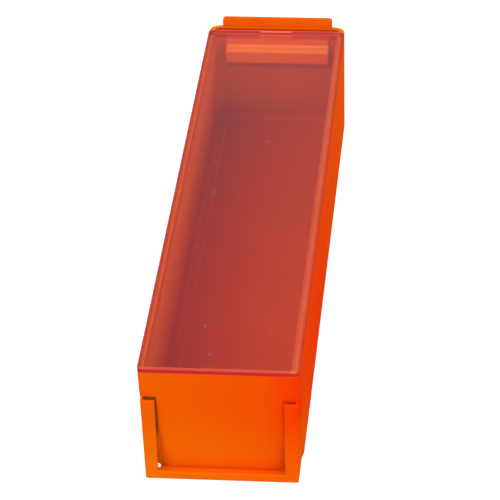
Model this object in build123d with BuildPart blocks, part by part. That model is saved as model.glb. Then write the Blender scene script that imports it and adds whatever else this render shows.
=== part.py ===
"""A long, narrow storage bin for small parts, with a clear drop-on lid.

The bin is one thin-walled moulding, open at the top. Its front wall leans back
inside an upright label frame, its front corners open out from nearly sharp at the
rim to well rounded at the foot, and its back wall carries an upright lip over a
finger recess. The lid is a flat clear plate that lies on the rim, held in place
by a low rib on its underside.

Millimetres. The origin is at the middle of the footprint on the underside,
with +Z up and the label frame facing -Y.
"""
from build123d import *
import os

# Overall size
bin_length = 400.0
bin_width = 90.0
rim_height = 72.0
lip_rise = 7.0

# Walls of the moulding
rim_wall = 3.0
foot_wall = 2.8
floor_thickness = 2.4
outer_foot_radius = 2.5
inner_foot_radius = 5.0

# How the tub narrows from the rim to the foot
side_draft = 0.45
back_draft = 0.5
rim_setback = 1.5
foot_setback = 8.0
front_radius_rim = 3.0
front_radius_foot = 20.0
corner_height = 58.0
front_radius_inside = 1.0
back_radius_rim = 7.0
back_radius_foot = 9.5

# Label frame
frame_height = 53.5
frame_wall = 1.6
frame_half_width_top = 44.1
frame_half_width_foot = 43.3
frame_depth = 23.0
frame_edge_radius = 1.55
window_half_width = 36.0
window_corner_radius = 1.0
rail_rounding = 0.6
ledge_height = 4.8
window_cut = 1.8
ledge_depth = 4.0
pocket_floor_height = 0.6
pocket_floor_thickness = 2.0
pocket_floor_half_width = 35.5

# Lip on the back wall
lip_width = 73.0
lip_thickness = 2.4
lip_corner_radius = 2.0

# Step in the back wall, hollow from outside
step_width = 68.0
step_start = 5.0
step_shelf_drop = 12.0
step_shelf_start = 7.0
step_depth = 13.0
step_face = 9.0
step_slope_drop = 10.0
step_wall = 2.0
step_rounding = 1.2

# Lid
lid_length = 388.0
lid_thickness = 2.5
lid_corner_radius = 3.0
lid_edge_radius = 0.5
rib_clearance = 1.0
rib_thickness = 1.5
rib_depth = 2.5
rib_corner_radius = 2.5
rib_rear_inset = 2.0
rib_gap = 21.0


def at_height(height, foot_size, rim_size):
    """Size at a height, on the straight line from the foot to the rim."""
    return foot_size + (rim_size - foot_size) * height / rim_height


# Places worked out from the sizes above
front = -bin_length / 2
back = bin_length / 2
rim_front = front + rim_setback
foot_front = front + foot_setback
rim_half = bin_width / 2
foot_half = rim_half - side_draft
foot_back = back - back_draft
corner_half = at_height(corner_height, foot_half, rim_half)
corner_front = at_height(corner_height, foot_front, rim_front)
corner_back = at_height(corner_height, foot_back, back)
corner_back_radius = at_height(corner_height, back_radius_foot, back_radius_rim)
corner_wall = at_height(corner_height, foot_wall, rim_wall)
lid_front = rim_front
lid_back = lid_front + lid_length

os.makedirs("parts", exist_ok=True)


def tub_outline(height, half_width, near, far, near_radius, far_radius):
    """Plan of the tub at one height, with its own radius at the front and back corners."""
    with BuildSketch(Plane.XY.offset(height)) as plan:
        with Locations((0, (near + far) / 2)):
            Rectangle(2 * half_width, far - near)
        fillet(plan.vertices().group_by(Axis.Y)[0], near_radius)
        fillet(plan.vertices().group_by(Axis.Y)[-1], far_radius)
    return plan.sketch


def frame_outline(height, half_width):
    """Plan of the label frame at one height: a front plate with a web back along each side."""
    with BuildSketch(Plane.XY.offset(height)) as plan:
        with Locations((0, front + frame_depth / 2)):
            Rectangle(2 * half_width, frame_depth)
        fillet(plan.vertices().group_by(Axis.Y)[0], frame_edge_radius)
        with Locations((0, front + frame_wall + frame_depth / 2)):
            Rectangle(2 * (half_width - frame_wall), frame_depth, mode=Mode.SUBTRACT)
    return plan.sketch


def step_profile(inset, far):
    """Side profile of the back step, drawn in from its inner skin by the inset."""
    top = rim_height - step_start - 1.25 * inset
    shelf = rim_height - step_shelf_drop - inset
    knee = back - step_shelf_start + 0.6 * inset
    nose = back - step_depth + inset
    chin = rim_height - step_shelf_drop - step_face + 0.5 * inset
    foot = rim_height - step_shelf_drop - step_face - step_slope_drop + 0.8 * inset
    with BuildSketch(Plane.YZ) as profile:
        with BuildLine():
            Polyline((far, top), (back - rim_wall + 0.6 * inset, top), (knee, shelf),
                     (nose, shelf), (nose, chin), (far, foot), close=True)
        make_face()
        corners = profile.vertices().group_by(Axis.X)[0]
        fillet(corners, step_rounding)
    return profile.sketch


with BuildPart() as storage_bin:
    # Outer form of the tub: its front corners open out below the corner height, and its
    # foot is rolled
    loft([
        tub_outline(0, foot_half, foot_front, foot_back, front_radius_foot, back_radius_foot),
        tub_outline(corner_height, corner_half, corner_front, corner_back,
                    front_radius_rim, corner_back_radius),
        tub_outline(rim_height, rim_half, rim_front, back, front_radius_rim, back_radius_rim),
    ], ruled=True)
    fillet(storage_bin.faces().sort_by(Axis.Z)[0].edges(), outer_foot_radius)

    # Label frame: plate and webs first, then the ledge and the floor of the pocket
    loft([
        frame_outline(0, frame_half_width_foot),
        frame_outline(frame_height, frame_half_width_top),
    ], ruled=True)
    with BuildSketch(Plane.XY):
        with Locations((0, front + ledge_depth / 2)):
            Rectangle(2 * (frame_half_width_foot - frame_edge_radius), ledge_depth)
    extrude(amount=ledge_height)
    with BuildSketch(Plane.XY.offset(pocket_floor_height)):
        with Locations((0, (front + foot_front) / 2 + ledge_depth)):
            Rectangle(2 * pocket_floor_half_width, foot_setback)
    extrude(amount=pocket_floor_thickness)

    # Window between the rails
    with BuildSketch(Plane.XZ.offset(-front)) as window:
        with Locations((0, (ledge_height + rim_height) / 2)):
            Rectangle(2 * window_half_width, rim_height - ledge_height)
        fillet(window.vertices().group_by(Axis.Y)[0], window_corner_radius)
    extrude(amount=-window_cut, mode=Mode.SUBTRACT)

    # Softened front edges at the tops of the rails and along the ledge
    frame_front = storage_bin.edges().filter_by_position(Axis.Y, front - 0.01, front + 0.01)
    for height in (frame_height, ledge_height):
        fillet(frame_front.filter_by_position(Axis.Z, height - 0.01, height + 0.01), rail_rounding)

    # Inside of the tub, with a rounded floor edge
    loft([
        tub_outline(floor_thickness, foot_half - foot_wall, foot_front + foot_wall,
                    foot_back - foot_wall, front_radius_foot - foot_wall, back_radius_foot - foot_wall),
        tub_outline(corner_height, corner_half - corner_wall, corner_front + corner_wall,
                    corner_back - corner_wall, front_radius_inside,
                    corner_back_radius - corner_wall),
        tub_outline(rim_height, rim_half - rim_wall, rim_front + rim_wall,
                    back - rim_wall, front_radius_inside, back_radius_rim - rim_wall),
    ], ruled=True, mode=Mode.SUBTRACT)
    inner_floor = storage_bin.faces().filter_by_position(Axis.Z, floor_thickness, floor_thickness)
    fillet(inner_floor[0].edges(), inner_foot_radius)

    # Step in the back wall: the inner skin first, then the recess behind it
    extrude(step_profile(0, back - rim_wall / 2), amount=step_width / 2, both=True)
    extrude(step_profile(step_wall, back + 1), amount=step_width / 2 - step_wall, both=True,
            mode=Mode.SUBTRACT)

    # Upright lip on the rim of the back wall
    with BuildSketch(Plane.XZ.offset(-back)) as lip:
        with Locations((0, rim_height + (lip_rise - rim_wall) / 2)):
            Rectangle(lip_width, lip_rise + rim_wall)
        fillet(lip.vertices().group_by(Axis.Y)[-1], lip_corner_radius)
    extrude(amount=lip_thickness)

storage_bin.part.label = "bin"
export_step(storage_bin.part, "parts/bin.step")


with BuildPart() as lid:
    # Flat clear plate
    with BuildSketch(Plane.XY.offset(rim_height)) as plate:
        with Locations((0, (lid_front + lid_back) / 2)):
            RectangleRounded(bin_width, lid_length, lid_corner_radius)
    extrude(amount=lid_thickness)
    fillet(lid.faces().sort_by(Axis.Z)[-1].edges(), lid_edge_radius)

    # Low locating rib, open for a finger's width at the rear
    rib_outer = rim_half - rim_wall - rib_clearance
    rib_near = rim_front + rim_wall + rib_clearance
    rib_far = lid_back - rib_rear_inset
    with BuildSketch(Plane.XY.offset(rim_height)):
        with Locations((0, (rib_near + rib_far) / 2)):
            RectangleRounded(2 * rib_outer, rib_far - rib_near, rib_corner_radius)
            RectangleRounded(2 * (rib_outer - rib_thickness), rib_far - rib_near - 2 * rib_thickness,
                             rib_corner_radius - rib_thickness, mode=Mode.SUBTRACT)
        with Locations((0, rib_far)):
            Rectangle(rib_gap, 3 * rib_thickness, mode=Mode.SUBTRACT)
    extrude(amount=-rib_depth)

lid.part.label = "lid"
export_step(lid.part, "parts/lid.step")
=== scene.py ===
import bpy
import bmesh
from math import radians
from mathutils import Matrix, Vector


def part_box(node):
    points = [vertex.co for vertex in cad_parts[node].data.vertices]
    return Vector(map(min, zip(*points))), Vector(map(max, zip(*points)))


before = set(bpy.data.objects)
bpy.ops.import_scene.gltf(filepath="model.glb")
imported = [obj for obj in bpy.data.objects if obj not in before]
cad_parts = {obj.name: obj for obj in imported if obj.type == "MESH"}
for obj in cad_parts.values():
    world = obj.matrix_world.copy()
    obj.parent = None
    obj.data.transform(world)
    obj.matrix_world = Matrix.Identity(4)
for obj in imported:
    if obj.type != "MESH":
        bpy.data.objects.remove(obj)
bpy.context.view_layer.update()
scene = bpy.context.scene
scene.view_settings.view_transform = "Standard"

# Camera: the photograph's own view, from in front, a little to the right and well above.
# A long lens, placed in metres in the bin's frame.
sensor_width = 36.0
lens = 201.6
camera_place = Vector((0.1569, -1.4391, 0.9692))
camera_heading = 6.291
camera_dip = 33.134
camera_roll = -1.953
farthest_seen = 50.0

camera_data = bpy.data.cameras.new("camera")
camera_data.lens = lens
camera_data.sensor_width = sensor_width
camera_data.clip_end = farthest_seen
camera = bpy.data.objects.new("camera", camera_data)
scene.collection.objects.link(camera)
camera.matrix_world = (
    Matrix.Translation(camera_place)
    @ Matrix.Rotation(radians(camera_heading), 4, "Z")
    @ Matrix.Rotation(radians(90 - camera_dip), 4, "X")
    @ Matrix.Rotation(radians(camera_roll), 4, "Z")
)
scene.camera = camera


# The bin: one injection moulding in orange polypropylene. Its colour carries painted light and shade:
# yellower to the lit left and at the front foot, lighter at the back, redder on the right flank, painted
# highlights on rim, shelf and floor line, and painted shade that makes the inside deeper in colour. The
# skin has a very faint orange peel, and the inside is duller than the outside.
class Value:
    """A shader socket that can be written in sums, so that node maths reads as arithmetic."""

    def __init__(self, nodes, socket):
        self.nodes = nodes
        self.socket = socket

    def _with(self, operation, other, swap=False):
        pair = [other, self] if swap else [self, other]
        return self.nodes.add("ShaderNodeMath", {"operation": operation}, {0: pair[0], 1: pair[1]})

    def __add__(self, other):
        return self._with("ADD", other)

    def __radd__(self, other):
        return self._with("ADD", other, True)

    def __sub__(self, other):
        return self._with("SUBTRACT", other)

    def __rsub__(self, other):
        return self._with("SUBTRACT", other, True)

    def __mul__(self, other):
        return self._with("MULTIPLY", other)

    def __rmul__(self, other):
        return self._with("MULTIPLY", other, True)

    def __pow__(self, other):
        return self._with("POWER", other)


class Nodes:
    """The node tree of a material or of the world, with a single method that adds any node."""

    def __init__(self, owner):
        self.owner = owner
        owner.use_nodes = True
        self.tree = owner.node_tree
        self.tree.nodes.clear()

    def add(self, kind, settings=None, sockets=None, output=0):
        node = self.tree.nodes.new(kind)
        for name, value in (settings or {}).items():
            setattr(node, name, value)
        for name, value in (sockets or {}).items():
            if isinstance(value, Value):
                self.tree.links.new(value.socket, node.inputs[name])
            else:
                node.inputs[name].default_value = value
        return Value(self, node.outputs[output]) if node.outputs else node

    def axes(self, vector):
        node = self.add("ShaderNodeSeparateXYZ", None, {"Vector": vector}).socket.node
        return [Value(self, socket) for socket in node.outputs]

    def surface(self, shader, output="ShaderNodeOutputMaterial"):
        self.add(output, None, {"Surface": shader})
        return self.owner


def noise(place, scale, detail):
    return place.nodes.add("ShaderNodeTexNoise", None, {"Vector": place, "Scale": scale, "Detail": detail})


def magnitude(value):
    return value.nodes.add("ShaderNodeMath", {"operation": "ABSOLUTE"}, {0: value})


def larger(value, other):
    return value.nodes.add("ShaderNodeMath", {"operation": "MAXIMUM"}, {0: value, 1: other})


def above(value, limit):
    return value.nodes.add("ShaderNodeMath", {"operation": "GREATER_THAN"}, {0: value, 1: limit})


def below(value, limit):
    return value.nodes.add("ShaderNodeMath", {"operation": "LESS_THAN"}, {0: value, 1: limit})


def between(value, low, high):
    return above(value, low) * below(value, high)


def rise(value, start, end):
    """0 up to the start, 1 from the end, and a straight rise from one to the other."""
    return value.nodes.add("ShaderNodeMapRange", None, {"Value": value, "From Min": start, "From Max": end})


def blend(share, first, second):
    """The first colour where the share is 0, the second where it is 1."""
    return share.nodes.add("ShaderNodeMix", {"data_type": "RGBA"}, {0: share, "A": first, "B": second}, 2)


# Sizes of the moulding that its colours follow
mm = 0.001
bin_low, bin_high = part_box("bin")
rim_height = 72.0 * mm
foot_front = bin_low.y + 8.0 * mm
lean = 6.5 * mm / rim_height
skin_half = bin_high.x - 0.3 * mm
skin_back = bin_high.y - 0.2 * mm
front_corner_foot = 20.0 * mm
front_corner_rim = 3.0 * mm
corner_height = 58.0 * mm
corner_growth = (front_corner_foot - front_corner_rim) / corner_height
rear_corner = 8.5 * mm
wall_middle = 1.4 * mm
floor_middle = 1.2 * mm
floor_top = 3.0 * mm
hair = 0.2 * mm
step_half = 34.2 * mm
step_nose = bin_high.y - 13.5 * mm
step_low = 50.5 * mm
shelf_low = 58.8 * mm
shelf_high = 61.2 * mm
back_wall = bin_high.y - 12.0 * mm
lid_end = bin_high.y - 10.5 * mm
wall_half = 39.5 * mm
window_half = 35.1 * mm
web_inner = 42.7 * mm
rail_back = bin_low.y + 1.6 * mm
web_end = bin_low.y + 24.0 * mm
rail_top = 54.6 * mm
floor_line_near = 35.4 * mm
floor_line_far = 36.1 * mm

# Where each drift of painted light and shade starts and where it ends, along the width, the length or the
# height
across_width = -30.0 * mm, 50.0 * mm
right_side_width = 24.0 * mm, 44.5 * mm
flank_length = -50.0 * mm, 200.0 * mm
back_length = 180.0 * mm, 198.0 * mm
far_floor_length = -50.0 * mm, 150.0 * mm
low_front_length = -130.0 * mm, -190.0 * mm
low_front_height = 45.0 * mm, 0.0
wall_height = 10.0 * mm, 52.0 * mm
back_low_height = 6.0 * mm, 22.0 * mm
back_high_height = 45.0 * mm, 65.0 * mm
pocket_shade_height = 20.0 * mm, 34.0 * mm
pocket_glow_height = 30.0 * mm, 20.0 * mm

# Patterns for each metre, and how far the cloudy one moves the left-to-right drift of painted light and
# shade
cloud_scale = 9.0
speck_scale = 900.0
peel_scale = 450.0
noise_detail = 2.0
cloud_drift = 20.0 * mm

# Colours of the outside, with painted light and shade, in pairs from the left to the right or from the
# front to the back
front_light_pair = (0.91, 0.122, 0.0010, 1.0), (0.93, 0.082, 0.0008, 1.0)
foot_light_pair = (0.91, 0.180, 0.0020, 1.0), (0.93, 0.135, 0.0015, 1.0)
flank_light_pair = (0.96, 0.045, 0.0008, 1.0), (0.92, 0.095, 0.0020, 1.0)
back_light_orange = (0.96, 0.150, 0.0020, 1.0)
rim_edge_highlight = (0.78, 0.235, 0.0050, 1.0)
pocket_shade_pair = (0.30, 0.085, 0.0040, 1.0), (0.74, 0.045, 0.0020, 1.0)
pocket_glow = (0.95, 0.300, 0.0060, 1.0)

# Colours of the inside, painted shade that makes it deeper in colour than the outside, with painted
# highlights and painted light on the rim, in pairs from the left to the right
near_floor_shade_pair = (0.52, 0.011, 0.0020, 1.0), (0.79, 0.066, 0.0020, 1.0)
far_floor_shade_pair = (0.49, 0.006, 0.0030, 1.0), (0.70, 0.062, 0.0030, 1.0)
wall_shade_red = (0.80, 0.082, 0.0030, 1.0)
back_low_shade_red = (0.74, 0.080, 0.0030, 1.0)
back_high_shade_red = (0.74, 0.092, 0.0040, 1.0)
floor_line_highlight = (0.85, 0.120, 0.0500, 1.0)
back_low_shade_share = 0.6
floor_line_highlight_share = 0.3
shelf_highlight = (1.0, 0.20, 0.010, 1.0)
rim_light_pair = (0.74, 0.11, 0.03, 1.0), (0.98, 0.18, 0.03, 1.0)

nodes = Nodes(bpy.data.materials.new("orange_moulding"))
place = nodes.add("ShaderNodeTexCoord", None, None, "Object")
x, y, z = nodes.axes(place)
width = magnitude(x)
cloud = noise(place, cloud_scale, noise_detail)
speck = noise(place, speck_scale, noise_detail)
peel = noise(place, peel_scale, noise_detail)

# How deep a point lies under the outer skin of the tub, whose corners are round in plan
rearward = above(y, 0.0)
front_corner = larger(front_corner_foot - corner_growth * z, front_corner_rim)
corner = front_corner * (1.0 - rearward) + rear_corner * rearward
past_side = larger(width - skin_half + corner, 0.0)
past_end = larger(larger(foot_front - lean * z + corner - y, y - skin_back + corner), 0.0)
depth = corner - (past_side * past_side + past_end * past_end) ** 0.5

# Regions of the moulding
cavity = above(depth, wall_middle) * between(z, floor_middle, rim_height - hair)
back_step = below(width, step_half) * above(y, step_nose)
inside = cavity * (1.0 - back_step * between(z, step_low, shelf_high))
shelf = back_step * between(z, shelf_low, shelf_high)
rim_top = above(z, rim_height - hair) * below(y, lid_end)
wall = rise(z, *wall_height) * (1.0 - below(width, wall_half) * below(y, back_wall))
back_low = above(y, back_wall) * rise(z, *back_low_height)
back_high = above(y, back_wall) * rise(z, *back_high_height) * (1.0 - back_step)
pocket_side = between(width, window_half, web_inner) * between(y, rail_back, web_end) * below(z, rail_top)
floor_line = cavity * below(z, floor_top) * between(width, floor_line_near, floor_line_far)
across = rise(x + cloud_drift * cloud, *across_width)
low_front = rise(y, *low_front_length) * rise(z, *low_front_height)
right_side = rise(x, *right_side_width)

# Painted light: the front is yellower towards the left, where the light falls from.
outer = blend(across, *front_light_pair)
# Painted light on the right flank: redder at the front, yellower towards the back.
outer = blend(right_side, outer, blend(rise(y, *flank_length), *flank_light_pair))
# Painted light: the low front is lighter and yellower, against the shade of the rail pockets.
outer = blend(low_front, outer, blend(across, *foot_light_pair))
# Painted light: lighter and yellower towards the back end, on the back wall, the lip and the step.
outer = blend(rise(y, *back_length), outer, back_light_orange)
# Painted highlight: a thin lighter line at the rim's top.
outer = blend(between(z, rim_height - hair, rim_height + hair), outer, rim_edge_highlight)
# Painted shade high in the rail pockets, darker on the left, and painted light lower down in them.
pocket_shade = blend(above(x, 0.0), *pocket_shade_pair)
outer = blend(pocket_side * rise(z, *pocket_shade_height), outer, pocket_shade)
outer = blend(pocket_side * rise(z, *pocket_glow_height), outer, pocket_glow)

# Painted shade inside: the floor darker to the left and towards the far end, the walls and the back wall
# lighter higher up.
inner_shade = blend(across, *near_floor_shade_pair)
inner_shade = blend(rise(y, *far_floor_length), inner_shade, blend(across, *far_floor_shade_pair))
inner_shade = blend(wall, inner_shade, wall_shade_red)
inner_shade = blend(back_low_shade_share * back_low, inner_shade, back_low_shade_red)
inner_shade = blend(back_high, inner_shade, back_high_shade_red)

colour = blend(inside, outer, inner_shade)
# Painted highlight: a thin light line where the floor meets the side walls.
colour = blend(floor_line_highlight_share * floor_line, colour, floor_line_highlight)
# Painted highlight on the shelf of the back step.
colour = blend(shelf, colour, shelf_highlight)
# Painted light on the rim's top under the lid, lighter to the right.
colour = blend(rim_top, colour, blend(across, *rim_light_pair))

# The finish: semi-gloss, a little duller inside, with light that enters the plastic
satin = 0.38
cloud_dulling = 0.10
speck_dulling = 0.06
inside_dulling = 0.10
roughness = satin + cloud_dulling * cloud + speck_dulling * speck + inside_dulling * inside
bump = nodes.add("ShaderNodeBump", None, {"Strength": 0.06, "Distance": 0.3 * mm, "Height": peel})
shader = nodes.add("ShaderNodeBsdfPrincipled", None, {
    "Base Color": colour,
    "Roughness": roughness,
    "Normal": bump,
    "IOR": 1.49,
    "Metallic": 0.12,
    "Specular IOR Level": 0.0,
    "Specular Tint": (1.0, 0.35, 0.03, 1.0),
    "Subsurface Weight": 0.35,
    "Subsurface Radius": (1.0, 0.25, 0.03),
    "Subsurface Scale": 4.0 * mm,
})
orange = nodes.surface(shader)
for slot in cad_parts["bin"].material_slots:
    slot.material = orange


# The lid: a clear flat plate with a low rib, moulded in polystyrene. Light goes straight
# through it, and a few specks of dust lie on it. Its edges carry painted light: milky red
# painted highlights and a painted crimson glow in the bin's own red.
lid_low, lid_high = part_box("lid")
plate_thickness = 2.5 * mm
under_plate = lid_high.z - plate_thickness - 0.1 * mm
dusty_top = lid_high.z - 0.6 * mm
side_rim = lid_high.x - 1.7 * mm
front_edge = lid_low.y + 2.2 * mm
rear_band_start = lid_high.y - 3.0 * mm
rear_line_start = lid_high.y - 1.2 * mm
rear_middle_half = 10.5 * mm
rib_shine_near = 40.2 * mm
rib_shine_far = 43.2 * mm
speck_spacing = 40.0 * mm
speck_share = 0.018
wear_scale = 60.0
wear_detail = 4.0

# Share of the milky red painted highlight in each region of the pane, and share of the painted crimson glow
rib_highlight = 0.05
rib_shine_highlight = 0.22
front_highlight = 0.45
rear_line_highlight = 0.70
rear_middle_highlight = 0.95
side_glow = 0.9
rim_band_glow = 0.22
rear_band_glow = 0.30
dust_cover = 0.36

pane_tint = (0.97, 0.955, 0.965, 1.0)
highlight_red = (0.97, 0.15, 0.07, 1.0)
crimson_glow = (0.62, 0.022, 0.034, 1.0)
dust_grey = (0.92, 0.80, 0.80, 1.0)
white = (1.0, 1.0, 1.0, 1.0)

nodes = Nodes(bpy.data.materials.new("clear_lid"))
place = nodes.add("ShaderNodeTexCoord", None, None, "Object")
x, y, z = nodes.axes(place)
width = magnitude(x)
upright = magnitude(nodes.axes(nodes.add("ShaderNodeTexCoord", None, None, "Normal"))[2])
wear = noise(place, wear_scale, wear_detail)

rib = below(z, under_plate)
side = below(upright, 0.5) * (1.0 - rib)
rim_band = above(width, side_rim) * (1.0 - side)
front_band = below(y, front_edge) * (1.0 - side)
rear_middle = below(width, rear_middle_half)
rear_line = above(y, rear_line_start)
rear_band = above(y, rear_band_start) * (1.0 - rear_line)
rib_shine = between(x, rib_shine_near, rib_shine_far) * above(z, under_plate)
spots = nodes.add("ShaderNodeTexVoronoi", {"voronoi_dimensions": "2D"},
                  {"Vector": place, "Scale": 1.0 / speck_spacing})
dust = below(spots, speck_share) * above(z, dusty_top) * wear
# Painted highlights in milky red: the front band, the rear line, the middle of the rear band, the rib's
# shine and faintly the rib.
highlight_share = (rib_highlight * rib + rib_shine_highlight * rib_shine + front_highlight * front_band
         + rear_line_highlight * rear_line + rear_middle_highlight * rear_band * rear_middle)
# Painted crimson glow on the edge faces, the bands over the rim and the rear band: the bin's red seen
# through the plate.
glowing = side_glow * side + rim_band_glow * rim_band + rear_band_glow * rear_band * (1.0 - rear_middle)


def matt(nodes, colour, roughness):
    return nodes.add("ShaderNodeBsdfPrincipled", None, {
        "Base Color": colour,
        "Roughness": roughness,
        "Specular IOR Level": 0.0,
    })


def mix(share, first, second):
    return share.nodes.add("ShaderNodeMixShader", None, {0: share, 1: first, 2: second})


pane = nodes.add("ShaderNodeBsdfTransparent", None, {"Color": pane_tint})
body = mix(highlight_share, pane, matt(nodes, highlight_red, 0.35))
body = mix(dust_cover * dust, body, matt(nodes, dust_grey, 0.8))
body = mix(glowing, body, matt(nodes, crimson_glow, 0.25))

# The reflection: faint face on, strong at a grazing angle, and nearly none on the edges
polish = 0.04
wear_dulling = 0.08
front_haze = 0.0075
rear_haze = 0.0085
rear_half = 0.0, 190.0 * mm
grazing_gain = 0.30
grazing_power = 5.0
flat_limit = 0.97
edge_loss = 0.92
gloss = nodes.add("ShaderNodeBsdfAnisotropic", None, {
    "Color": white,
    "Roughness": polish + wear_dulling * wear,
})
grazing = nodes.add("ShaderNodeLayerWeight", None, {"Blend": 0.5}, "Facing")
haze = front_haze + (rear_haze - front_haze) * rise(y, *rear_half)
mirror = (haze + grazing_gain * grazing ** grazing_power) * (1.0 - edge_loss * below(upright, flat_limit))
clear = nodes.surface(mix(mirror, body, gloss))
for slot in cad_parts["lid"].material_slots:
    slot.material = clear


# Floor: a plain white table that runs well past every view. It shows as white and keeps
# the bin's shadow.
floor_half = 6.0
floor_drop = 0.2 * mm
table_grey = (0.5, 0.5, 0.5, 1.0)
table_glow = 0.78


def shown(nodes):
    """1 for what the eye sees, straight, mirrored or through a pane, and 0 for light."""
    rays = nodes.add("ShaderNodeLightPath").socket.node.outputs
    camera_ray, glossy_ray, transmission_ray = (
        Value(nodes, rays[name]) for name in ("Is Camera Ray", "Is Glossy Ray", "Is Transmission Ray"))
    return larger(larger(camera_ray, glossy_ray), transmission_ray)


mesh = bpy.data.meshes.new("floor")
shape = bmesh.new()
bmesh.ops.create_grid(shape, x_segments=1, y_segments=1, size=floor_half)
shape.to_mesh(mesh)
shape.free()
floor = bpy.data.objects.new("floor", mesh)
scene.collection.objects.link(floor)
floor.location.z = -floor_drop
nodes = Nodes(bpy.data.materials.new("white_table"))
diffuse = nodes.add("ShaderNodeBsdfDiffuse", None, {"Color": table_grey})
glow = nodes.add("ShaderNodeEmission", None, {"Color": white, "Strength": table_glow * shown(nodes)})
floor.data.materials.append(nodes.surface(nodes.add("ShaderNodeAddShader", None, {0: diffuse, 1: glow})))


# Light: a white surround and five large soft lamps: one above, one in front, one to each
# side, high enough to reach into the bin, and one behind.
surround_light = 0.42
nodes = Nodes(bpy.data.worlds.new("surround"))
strength = surround_light + (1.0 - surround_light) * shown(nodes)
background = nodes.add("ShaderNodeBackground", None, {"Color": white, "Strength": strength})
scene.world = nodes.surface(background, "ShaderNodeOutputWorld")

# Each lamp's place, the point it faces, its side and its power
lamps = {
    "overhead": ((0.0, -0.5, 1.7), (0.0, 0.0, 0.0), 1.6, 3.5),
    "front": ((-0.2, -2.3, 0.9), (0.0, -0.1, 0.03), 2.4, 32.0),
    "right": ((1.3, -0.3, 1.2), (0.0, 0.0, 0.03), 1.6, 12.0),
    "left": ((-0.8, -0.3, 1.5), (0.0, 0.0, 0.03), 1.2, 5.5),
    "back": ((0.3, 2.3, 1.0), (0.0, 0.0, 0.03), 2.0, 8.0),
}
for name, (lamp_place, target, size, power) in lamps.items():
    data = bpy.data.lights.new(name, "AREA")
    data.shape = "SQUARE"
    data.size = size
    data.energy = power
    lamp = bpy.data.objects.new(name, data)
    scene.collection.objects.link(lamp)
    lamp.location = lamp_place
    aim = Vector(target) - Vector(lamp_place)
    lamp.rotation_euler = aim.to_track_quat("-Z", "Y").to_euler()
